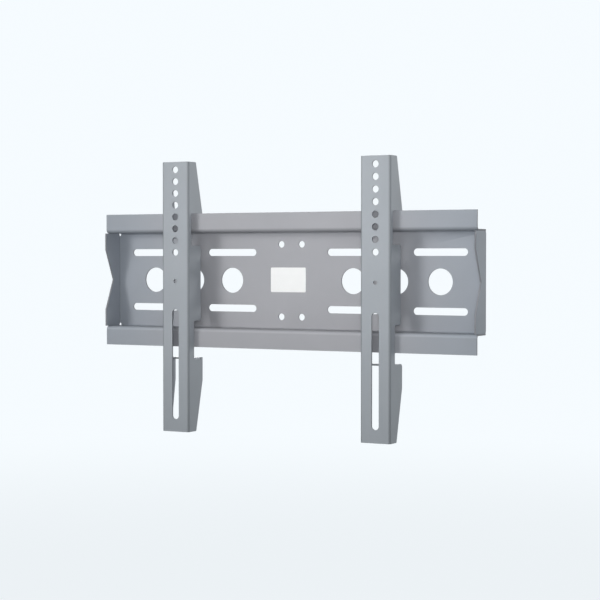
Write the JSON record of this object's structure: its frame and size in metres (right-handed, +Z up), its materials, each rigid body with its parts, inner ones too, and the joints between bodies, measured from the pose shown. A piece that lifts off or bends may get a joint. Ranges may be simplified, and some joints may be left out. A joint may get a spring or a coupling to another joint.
{
  "type": "fixed television wall mount",
  "caption": "Fixed flat-screen wall mount: a folded steel wall plate with top and bottom rails, and two slotted hook-on arms.",
  "frame": {"origin": "on the wall surface, at the middle of the wall plate", "axes": "+X along the plate, +Y into the wall, +Z up"},
  "size_m": [0.524, 0.0435, 0.3435],
  "materials": {
    "plate_steel": "satin silver-grey powder coat",
    "arm_steel": "satin silver-grey powder coat",
    "label_film": "matt white film"
  },
  "bodies": {
    "root": {"wall_plate": "plate_steel", "label": "label_film", "arm_left": "arm_steel", "arm_right": "arm_steel"}
  },
  "joints": []
}
